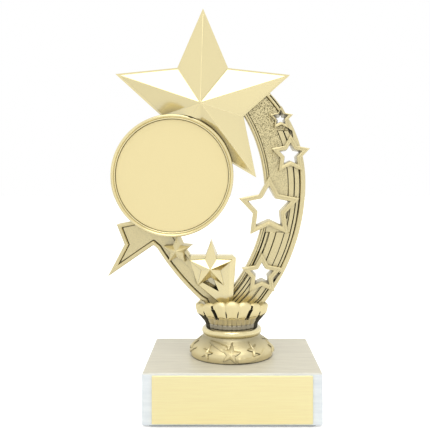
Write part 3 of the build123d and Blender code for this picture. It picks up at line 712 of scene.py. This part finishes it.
def make_crescent(polished, field):
    """The blade, with windows for the open stars, pits beside them and a slot in its rim."""
    below, above = -6.0, 8.0  # the cutters' ends, clear of the blade
    crescent = skin("crescent_blade", crescent_rows())
    cutters = []
    for node, (opening, _, _) in OPENINGS.items():
        centre, tip = star_size(node)
        plug = plug_radius(opening, tip) + 0.05
        cutters.append(prism("window", star_points(centre, plug, OPEN_STAR_NOTCH * plug), below, above))
    for corners in PITS:
        cutters.append(prism("pit", corners, -1.5, above))
    cutters.append(prism("slot", rim_slot(), 0.0, above))
    combine(crescent, cutters, "DIFFERENCE")
    finish_piece(crescent, polished, "crescent", 35.0, field)


# ---------------------------------------------------------------- ribbon arm and its star
# the raised trail that runs from the ribbon star down behind the comet star
RIBBON_TRAIL = [(-22.9, 66.9), (-21.0, 71.0), (-17.4, 66.0), (-9.0, 55.0), (-15.2, 59.7)]


def arm_corners():
    """The arm's outline, clockwise: x, z and how much each corner is rounded."""
    corners = [  # the swallow tail, the end behind the holder, the right edge and the root
        (-36.2, 74.1, 0.7), (-57.3, 59.5, 0.4), (-49.5, 74.4, 0.5), (-53.2, 83.6, 0.5),
        (-44.5, 85.4, 0.3), (-41.0, 94.0, 0.3), (-26.5, 92.0, 0.3), (-25.4, 78.3, 0.4),
        (-22.2, 73.6, 0.4), (-5.9, 50.6, 0.3), (-1.7, 48.5, 0.2), (-1.7, 44.7, 0.1),
        (-11.4, 44.7, 0.1), (-12.8, 48.0, 0.1),
    ]
    left_edge = ((-14.6, 49.0), (-25.1, 59.8), (-34.4, 72.6))  # a parabola through three points
    steps = 9
    for k in range(steps + 1):
        t = k / steps
        shares = ((1 - t) * (1 - 2 * t), 4 * t * (1 - t), t * (2 * t - 1))
        x = sum(place[0] * share for place, share in zip(left_edge, shares))
        z = sum(place[1] * share for place, share in zip(left_edge, shares))
        corners.append((x, z, 0.4))
    return corners


def make_arm(polished, field):
    """The ribbon: a blade with a raised rim all round, and a trail that lies on its field."""
    corners = arm_corners()
    outline = [(x, z) for x, z, _ in corners]
    cuts = [cut * 0.7 for _, _, cut in corners]
    section = [  # distance from the edge, height
        (2.0, BACK_FLOOR), (1.85, -3.2), (1.6, -3.5), (0.25, -3.5), (0.0, -3.2), (0.0, 2.75),
        (0.1, 3.15), (0.35, 3.42), (0.9, 3.5), (1.45, 3.42), (1.72, 3.15), (1.82, 2.75), (1.86, 1.8),
        (2.05, 1.8), (2.15, FIELD_FLOOR),
    ]
    loops = [at_height(rounded(inset(outline, distance), cuts), height) for distance, height in section]
    arm = skin("ribbon_arm_blade", loops)
    trail_top = 3.1
    trail = prism("trail", RIBBON_TRAIL, LAYER_FLOOR - 1, trail_top)
    bevel(trail, 0.15, 2, 20.0)
    combine(arm, [trail], "UNION")
    finish_piece(arm, polished, "ribbon_arm", 35.0, field)


def make_ribbon_star(polished):
    """A small faceted star on a body that leans back to the upper right."""
    (cx, cz), tip = star_size("ribbon_star")
    notch = 0.46 * tip
    edge = 5.2  # height of the points' tips
    front = star_points((cx, cz), tip, notch)
    rear = star_points((cx + 1.4, cz + 0.7), tip, notch)
    apex = (cx - 0.4, box_mm("ribbon_star")[0].y + 1.3, cz - 0.5)
    back = at_height(rear, LAYER_FLOOR - 0.5)
    star = faceted_star("ribbon_star_relief", back, at_height(front, edge), apex)
    bevel(star, 0.14, 2, 10.0)
    finish_piece(star, polished, "ribbon_star", 25.0, faceted=True)


# ---------------------------------------------------------------- comet star
def make_comet(polished):
    """A faceted star in front of a wedge that narrows down into the cup."""
    cx, cz, tip, notch = -9.6, 64.4, 10.3, 4.6
    edge = 7.4  # height of the points' tips
    apex = (-9.8, box_mm("comet_star")[0].y + 0.9, 63.7)
    outline = star_points((cx, cz), tip, notch)
    outline[0] = (cx + 0.1, cz + tip + 2.1)
    rear = star_points((cx + 0.2, cz + 0.5), tip + 0.3, notch + 0.6)
    rear[0] = (cx + 0.2, cz + tip + 2.4)
    back = at_height(rear, LAYER_FLOOR - 1)
    star = faceted_star("comet_star_wedge", back, at_height(outline, edge), apex)
    body = comet_body()
    combine(body, [comet_pocket()], "DIFFERENCE")
    bevel(star, 0.18, 2, 10.0)
    bevel(body, 0.14, 2, 20.0)
    combine(star, [body], "UNION")
    finish_piece(star, polished, "comet_star", 25.0, faceted=True)


def comet_body():
    """The wedge: a broad top behind the star's side tips, and a point at the cup. Its flat
    face has five corners, and six slanted or upright sides run back from it."""
    top_z, foot_z, root_y = 67.6, 45.2, -1.2
    face = [
        (-18.9, -6.8, top_z - 0.4), (-0.8, -6.8, top_z), (-1.5, -7.4, foot_z + 1.3),
        (-3.4, -7.4, foot_z + 1.3), (-15.8, -6.8, 57.0),
    ]
    rim = [
        (-18.9, -7.0, top_z + 2.2), (0.4, -7.0, top_z + 2.1), (1.9, -5.6, top_z + 0.6),
        (0.2, -4.6, foot_z), (-4.6, -2.4, foot_z + 0.8), (-16.6, -2.4, 56.2),
    ]
    back = [(x, root_y, z) for x, _, z in rim]
    faces = [
        (0, 1, 2, 3, 4), (0, 5, 6, 1), (1, 6, 7), (1, 7, 8, 2), (2, 8, 9, 3), (3, 9, 10, 4),
        (4, 10, 5, 0), (11, 12, 13, 14, 15, 16),
    ]
    faces += [(5 + k, 5 + (k + 1) % 6, 11 + (k + 1) % 6, 11 + k) for k in range(6)]
    return mesh_piece("wedge", face + rim + back, faces)


def comet_pocket():
    """The hollow between the star's lower arms, as a cutter."""
    floor_h, mouth_h = 2.6, 7.6
    floor_corners = [(-12.6, 58.4), (-9.7, 60.8), (-7.2, 55.0)]
    mouth_corners = [(-14.8, 58.0), (-9.6, 62.6), (-5.8, 53.2)]
    return skin("pocket", [at_height(floor_corners, floor_h), at_height(mouth_corners, mouth_h)])


# ---------------------------------------------------------------- fluted cup
PETALS = 16
HALF_PETAL = 180 / PETALS  # degrees
WIDEST = 16.9  # the petals' largest radius
DOME = 1.2  # how far they lean in at their tops
CUP_FOOT = 35.5  # z of the cup's underside
FLUTE_BEAD = 38.4  # z of the fine bead round the flutes
LIP = 42.9  # z where the petals stand out over the flutes
# gaps between petals, by their angle from the front or the back: low z, high z, depth, and
# half their width at the foot as a share of half a petal
PETAL_GAPS = {
    11.25: (43.1, 45.6, 1.2, 0.10),
    33.75: (42.4, 47.8, 1.8, 0.34),
    56.25: (41.6, 44.8, 1.0, 0.16),
}
SIDE_BAR = (57.0, 88.5, 37.4, 42.2, 0.12)  # the recessed bar on each side, dark with painted shade: its angles, z and depth


def petal_columns():
    """Angles round the cup, and for each its place in its petal: 0 middle, 1 at the gap."""
    places = (0.0, 0.06, 0.18, 0.33, 0.5, 0.67, 0.82, 0.9, 0.95)
    for k in range(PETALS):
        for place in [-1.0] + [-p for p in reversed(places[1:])] + list(places):
            yield 90 + 2 * HALF_PETAL * k + HALF_PETAL * place, abs(place)


def from_front(angle):
    """How far an angle turns from the front or the back, whichever is nearer: -90 to 90."""
    return angle % 180 - 90


def gap_depth(away, edge, z):
    """How deep the gap between two petals is. It widens downwards."""
    low_angle, high_angle, low_z, high_z, depth = SIDE_BAR
    if low_angle < abs(away) < high_angle and low_z < z < high_z:
        return depth
    near = min(PETAL_GAPS, key=lambda gap: abs(gap - abs(away)))
    if abs(abs(away) - near) > HALF_PETAL:
        return 0.0
    low_z, high_z, depth, reach = PETAL_GAPS[near]
    share = (z - low_z) / (high_z - low_z)
    narrowing = 0.65  # how much of its width a gap loses by its top
    inside = 0.0 <= share <= 1.0 and edge >= 1 - reach * (1 - narrowing * share)
    return depth if inside else 0.0


def flute_wall(z):
    """The radius of the fluted part, which rises from the ring and widens to the petals."""
    foot_z, spread_z = 36.9, 38.2
    return 12.0 + 0.25 * (z - foot_z) + 0.60 * max(0.0, z - spread_z)


def flute_rows(edge, lip):
    """The fluted part's radius and z, from the cup's underside up to the petals' lip."""
    rib = 0.45 * (2 * edge - 1) ** 2  # two rounded ribs to a petal
    start, bead_top = CUP_FOOT + 0.4, FLUTE_BEAD + 0.3
    rows = [
        (flute_wall(start) - 0.4 * rib, start),
        (flute_wall(FLUTE_BEAD) - 0.1 - 0.6 * rib, FLUTE_BEAD - 0.15),
        (flute_wall(FLUTE_BEAD) + 0.2 - 0.6 * rib, FLUTE_BEAD),
        (flute_wall(FLUTE_BEAD) + 0.1 - 0.8 * rib, bead_top),
    ]
    for t in (0.2, 0.4, 0.6, 0.8, 1.0):
        z = bead_top + (lip - bead_top) * t
        rows.append((flute_wall(z) - 0.1 - rib, z))
    return rows


def petal_rows(edge, lip, rim):
    """A petal's radius and z, from its lip up to its rim. It bulges over the lip and leans
    in at the top, and is rounded towards the gaps."""
    widest = WIDEST - 0.35 * edge**4
    rows = [(widest - 1.0, lip + 0.02), (widest - 0.82, lip + 0.2)]
    for t in (0.08, 0.16, 0.25, 0.34, 0.43, 0.52, 0.6, 0.68, 0.76, 0.84, 0.91, 0.96):
        swell = 0.8 * (1 - t) ** 2
        dome = DOME * max(0.0, (t - 0.70) / 0.30) ** 2
        rows.append((widest - swell - dome, lip + (rim - lip) * t))
    return rows + [(widest - DOME - 0.2, rim), (widest - DOME - 0.6, rim)]


def cup_profile(angle, edge, floor_z, top_z):
    """The cup's outside from its underside up, over its rim and down to its floor: radius,
    z and the depth of the gap there. The rim is lower at the sides and at the gaps."""
    away = from_front(angle)
    rim = top_z - 3.0 * sin(radians(away)) ** 2 - 0.9 * edge**2
    lip = LIP - 0.6 * edge**2
    profile = [(8.4, CUP_FOOT, 0.0)]
    for radius, z in flute_rows(edge, lip) + petal_rows(edge, lip, rim):
        depth = gap_depth(away, edge, z)
        profile.append((radius - depth, z, depth))
    inside = [
        (WIDEST - DOME - 0.9 - 0.175 * edge**4, rim - 0.4), (12.9, floor_z + 1.2),
        (12.6, floor_z + 0.5), (12.0, floor_z + 0.1), (ON_AXIS, floor_z), (ON_AXIS, CUP_FOOT),
    ]
    return profile + [(radius, z, 0.0) for radius, z in inside]


def lean(angle, z):
    """The angle in radians at which a point stands: the front petals narrow downwards."""
    away = from_front(angle)
    below_rim = 1 - smoothstep(42.3, 49.0, z)
    near_front = 1 - smoothstep(38, 78, abs(away))
    above_ring = smoothstep(37.0, 41.5, z)
    return radians(angle - away * 0.24 * below_rim * near_front * above_ring)


def cup_material(depths, z):
    """Slot of a face's material, from the gap's depth at its corners and its middle's z."""
    petal, flute, dark = 0, 1, 2
    flute_top = (LIP - 0.7) * MM
    if sum(depth > 0 for depth in depths) >= 2:
        return dark
    return flute if z < flute_top else petal


def make_cup(petal_gold, flute_gold, dark):
    """The cup: bright petals, flutes duller with painted shade, and painted shade, nearly black, in the
    gaps.
    """
    top_z = box_mm("fluted_cup")[1].z - 0.5
    loops = []
    depths = []
    for angle, edge in petal_columns():
        profile = cup_profile(angle, edge, CUP_FLOOR, top_z)
        loops.append([(r * cos(lean(angle, z)), r * sin(lean(angle, z)), z) for r, z, _ in profile])
        depths.append([depth for _, _, depth in profile])
    cup = skin("fluted_cup_petals", loops, ring=True)
    finish_piece(cup, petal_gold, "fluted_cup", 32.0)
    cup.data.materials.append(flute_gold)
    cup.data.materials.append(dark)
    rows = len(loops[0])
    for polygon in cup.data.polygons:
        column, row = divmod(polygon.index, rows)
        here, beside = depths[column], depths[(column + 1) % len(loops)]
        above = (row + 1) % rows
        corners = (here[row], beside[row], here[above], beside[above])
        polygon.material_index = cup_material(corners, polygon.center.z)


# ---------------------------------------------------------------- foot
FOOT_RADIUS = 19.0  # at the bell's lip
RING_BEAD = 1.85  # the ring's section radius
RING_RADIUS = 13.85  # the ring's outer radius
NECK_RADIUS = 13.1
NECK_RISE = 9.9  # the neck's and the ring's heights over the foot's underside
RING_RISE = 11.7
RELIEF_RADIUS = 17.6  # the radius at which the relief's sizes are measured


def facet_star(ds, dz, tip, notch, turn, peak, step):
    """Height of a faceted star at a place from its centre, or 0 outside it."""
    angle = degrees(atan2(ds, dz)) - turn
    away = abs((angle + 36) % 72 - 36)
    slant = tip * sin(radians(away)) + notch * sin(radians(36 - away))
    outline = tip * notch * sin(radians(36)) / slant
    share = hypot(ds, dz) / outline
    if share >= 1:
        return 0.0
    return peak * (1 - share) + step


def streak(s, z, path, width_start, width_end, peak):
    """Height of a raised streak along a path of (s, z), with its widths at its two ends."""
    best = 0.0
    total = sum(hypot(b[0] - a[0], b[1] - a[1]) for a, b in zip(path, path[1:]))
    done = 0.0
    for a, b in zip(path, path[1:]):
        length = hypot(b[0] - a[0], b[1] - a[1])
        t = ((s - a[0]) * (b[0] - a[0]) + (z - a[1]) * (b[1] - a[1])) / length**2
        t = min(max(t, 0.0), 1.0)
        away = hypot(s - a[0] - t * (b[0] - a[0]), z - a[1] - t * (b[1] - a[1]))
        width = width_start + (width_end - width_start) * (done + t * length) / total
        best = max(best, peak * (1 - smoothstep(0.45 * width, 0.62 * width, away)))
        done += length
    return best


def foot_relief(angle, z, base):
    """Relief on the bell: three faceted stars, the tail of the largest one and a crescent
    below. The group stands three times round the bell."""
    turn = (degrees(angle) + 90 + 60) % 120 - 60
    s = radians(turn) * RELIEF_RADIUS
    up = z - base
    height = facet_star(s + 0.5, up - 4.5, 4.5, 1.8, 8, 0.8, 0.6)
    height = max(height, facet_star(s + 11.6, up - 4.3, 3.2, 1.1, 12, 0.6, 0.55))
    height = max(height, facet_star(s - 10.3, up - 5.7, 3.3, 1.15, -14, 0.6, 0.55))
    tail = [(-13.2, 8.6), (-8.0, 7.6), (-3.4, 6.3)]
    height = max(height, streak(s, up, tail, 0.7, 2.3, 0.5))
    moon = [(3.6, 1.6), (8.0, 1.7), (12.5, 2.9), (16.8, 5.2)]
    height = max(height, streak(s, up, moon, 2.4, 0.5, 0.5))
    return height


def catmull(points, steps):
    """A smooth curve through points: a Catmull-Rom spline with some steps between two."""
    result = []
    for k in range(len(points) - 1):
        p0, p1 = points[max(k - 1, 0)], points[k]
        p2, p3 = points[k + 1], points[min(k + 2, len(points) - 1)]
        for step in range(steps):
            t = step / steps
            place = []
            for a, b, c, d in zip(p0, p1, p2, p3):
                square = (2 * a - 5 * b + 4 * c - d) * t**2
                cube = (3 * b - a - 3 * c + d) * t**3
                place.append(0.5 * (2 * b + (c - a) * t + square + cube))
            result.append(tuple(place))
    result.append(points[-1])
    return result


def bell_profile(base):
    """The bell's outside, from its lip up to its neck: radius and z."""
    r = FOOT_RADIUS
    places = [
        (r - 0.55, base), (r - 0.15, base + 0.5), (r, base + 2.4), (r - 0.4, base + 3.9),
        (r - 1.2, base + 5.0), (r - 2.4, base + 6.3), (r - 4.0, base + 7.7),
        (NECK_RADIUS + 0.5, base + 9.0), (NECK_RADIUS, base + NECK_RISE),
    ]
    return catmull(places, 10)


def ring_profile(base):
    """The rolled ring's outside, from under it over its crest: radius and z."""
    middle, z = RING_RADIUS - RING_BEAD, base + RING_RISE
    turns = [radians(-78 + 228 * k / 14) for k in range(15)]
    return [(middle + RING_BEAD * cos(a), z + RING_BEAD * sin(a)) for a in turns]


def make_foot(bell_gold, polished):
    """The bell with its relief, and the polished ring on its neck."""
    base = box_mm("foot")[0].z
    neck_z = base + NECK_RISE
    bell = bell_profile(base)
    rest = [(NECK_RADIUS - 0.35, neck_z + 0.25)] + ring_profile(base)
    rest += [(9.6, base + 12.5), (8.7, base + 12.5), (8.7, base + 7.0), (3.6, base + 7.0), (3.6, base)]
    steps = 600
    loops = []
    for k in range(steps):
        a = 2 * pi * k / steps
        loop = []
        for radius, z in bell:
            above_lip = smoothstep(base + 0.2, base + 0.9, z)
            below_neck = 1 - smoothstep(neck_z - 1.2, neck_z - 0.5, z)
            radius += foot_relief(a, z, base) * above_lip * below_neck
            loop.append((radius * cos(a), radius * sin(a), z))
        loop += [(radius * cos(a), radius * sin(a), z) for radius, z in rest]
        loops.append(loop)
    foot = skin("foot_bell", loops, ring=True)
    finish_piece(foot, bell_gold, "foot", 35.0)
    foot.data.materials.append(polished)
    for polygon in foot.data.polygons:
        polygon.material_index = 1 if polygon.center.z > neck_z * MM else 0


# ---------------------------------------------------------------- carried-over CAD nodes
def dress(node, material):
    """Gives a CAD node that keeps its shape its material."""
    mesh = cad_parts[node].data
    mesh.materials.clear()
    mesh.materials.append(material)


# ---------------------------------------------------------------- camera, light and floor
def make_camera():
    """A level camera in front of the figure's middle, shifted down to take in the base."""
    data = bpy.data.cameras.new("camera")
    camera = bpy.data.objects.new("camera", data)
    bpy.context.collection.objects.link(camera)
    camera.location = (-0.0026, -0.32975, 0.1069)  # metres
    camera.rotation_euler = (radians(90), 0, 0)
    data.lens = 59.27
    data.sensor_width = 36
    data.shift_x = -0.026
    data.shift_y = -0.0953
    data.clip_start = 0.01
    data.clip_end = 20
    bpy.context.scene.camera = camera


def floor_paper():
    """Pale paper, a little darker on the left, that looks almost white."""
    nodes = Nodes("floor_paper")
    left_x, right_x = -250.0, 250.0
    across = nodes.add("ShaderNodeSeparateXYZ", {"Vector": nodes.place()}).outputs["X"]
    paper = nodes.ramp(across, left_x, right_x, (0.74, 0.74, 0.74, 1), (0.90, 0.90, 0.90, 1))
    nodes.link(paper, "Base Color")
    nodes.shader.inputs["Roughness"].default_value = 0.9
    nodes.shader.inputs["Specular IOR Level"].default_value = 0.0
    nodes.shader.inputs["Emission Color"].default_value = (1, 1, 1, 1)
    seen = nodes.add("ShaderNodeLightPath").outputs["Is Camera Ray"]
    nodes.link(nodes.ramp(seen, 0.0, 1.0, 0.0, 0.45), "Emission Strength")
    return nodes.material


def make_floor():
    """A plain square floor."""
    half = 3.0  # half its side, in metres
    mesh = bpy.data.meshes.new("floor")
    corners = [(-half, -half, 0), (half, -half, 0), (half, half, 0), (-half, half, 0)]
    mesh.from_pydata(corners, [], [(0, 1, 2, 3)])
    mesh.materials.append(floor_paper())
    plane = bpy.data.objects.new("floor", mesh)
    bpy.context.collection.objects.link(plane)


BASE_LIGHT = 0.97  # what comes from every direction
LIGHTS = [  # direction, inner and outer half angle in degrees, gain
    ((0.0, -0.43, 0.90), 15, 24, 1.9),  # the large soft box above
    ((0.0, -0.87, 0.49), 4, 11, 1.3),  # a small one in front, which lights the ridges
    ((0.66, -0.42, 0.62), 2, 10, -0.35),  # a flag on the right
]


def add_spot(tree, source, total, light):
    """Adds one broad spot of light to the total strength."""
    direction, inner, outer, gain = light
    dot = tree.nodes.new("ShaderNodeVectorMath")
    dot.operation = "DOT_PRODUCT"
    tree.links.new(source, dot.inputs[0])
    dot.inputs[1].default_value = Vector(direction).normalized()
    spot = tree.nodes.new("ShaderNodeMapRange")
    spot.interpolation_type = "SMOOTHSTEP"
    tree.links.new(dot.outputs["Value"], spot.inputs["Value"])
    spot.inputs["From Min"].default_value = cos(radians(outer))
    spot.inputs["From Max"].default_value = cos(radians(inner))
    spot.inputs["To Max"].default_value = gain
    add = tree.nodes.new("ShaderNodeMath")
    add.operation = "ADD"
    tree.links.new(spot.outputs["Result"], add.inputs[0])
    tree.links.new(total, add.inputs[1])
    return add.outputs[0]


def make_world():
    """A white studio: soft boxes and flags as broad spots of light in given directions. The
    camera itself sees plain white."""
    world = bpy.data.worlds.new("studio")
    world.use_nodes = True
    bpy.context.scene.world = world
    tree = world.node_tree
    source = tree.nodes.new("ShaderNodeTexCoord").outputs["Generated"]
    total = tree.nodes.new("ShaderNodeValue").outputs[0]
    total.default_value = BASE_LIGHT
    for light in LIGHTS:
        total = add_spot(tree, source, total, light)
    background = tree.nodes["Background"]
    background.inputs["Color"].default_value = (1.0, 0.99, 0.93, 1)
    tree.links.new(total, background.inputs["Strength"])
    white = tree.nodes.new("ShaderNodeBackground")
    white.inputs["Color"].default_value = (1, 1, 1, 1)
    path = tree.nodes.new("ShaderNodeLightPath")
    mix = tree.nodes.new("ShaderNodeMixShader")
    tree.links.new(path.outputs["Is Camera Ray"], mix.inputs[0])
    tree.links.new(background.outputs[0], mix.inputs[1])
    tree.links.new(white.outputs[0], mix.inputs[2])
    tree.links.new(mix.outputs[0], tree.nodes["World Output"].inputs["Surface"])


def set_view():
    """Plain colours, with no film look."""
    settings = bpy.context.scene.view_settings
    settings.view_transform = "Standard"
    settings.look = "None"
    settings.exposure = 0.0
    settings.gamma = 1.0


# ---------------------------------------------------------------- the whole trophy
def make_figure():
    """The gold figure, from the star down to the foot."""
    foot_z = box_mm("foot")[0].z
    # heights of painted shade: the bell darkens upwards to the ring, the flutes downwards to it
    under_ring = (foot_z + 5.0, foot_z + 9.0)
    over_ring = (39.4, 38.2)
    polished = gold("gold_polished", 0.16, hollow=(0.3, 0.92))
    cast = gold("gold_cast", 0.30, GOLD_CAST, 0.02)
    field = gold("gold_field", 0.34, GOLD_CAST, 0.05, field=True)
    petal = gold("gold_petal", 0.48, crease=(0.4, 0.2, 0.6), hollow=(0.3, 0.95))
    flute = gold("gold_flute", 0.36, GOLD_FLUTE_SHADE, crease=(0.8, 0.45, 0.88), shade_heights=over_ring)
    bell = gold("gold_bell", 0.40, GOLD_BELL, 0.09, (0.6, 0.48, 0.82), (0.2, 0.6), under_ring)
    make_star(polished)
    make_holder(polished)
    for node in OPENINGS:
        make_open_star(node, cast)
    make_crescent(cast, field)
    make_arm(cast, field)
    make_ribbon_star(cast)
    make_comet(polished)
    make_cup(petal, flute, gap_shade())
    make_foot(bell, polished)
    dress("star_back", polished)


def dress_others():
    """The insert, the base and the fasteners, which keep their CAD shapes."""
    dress("insert_disc", insert_gold())
    dress("engraving_plate", plate_gold())
    dress("marble_base", marble())
    dress("base_felt", felt())
    tape = foam_tape()
    dress("plate_tape", tape)
    dress("insert_tape", tape)
    metal = steel()
    for node in ("threaded_rod", "captive_nut", "base_nut", "flat_washer", "lock_washer"):
        dress(node, metal)


def main():
    set_view()
    make_camera()
    make_world()
    make_floor()
    make_figure()
    dress_others()


main()
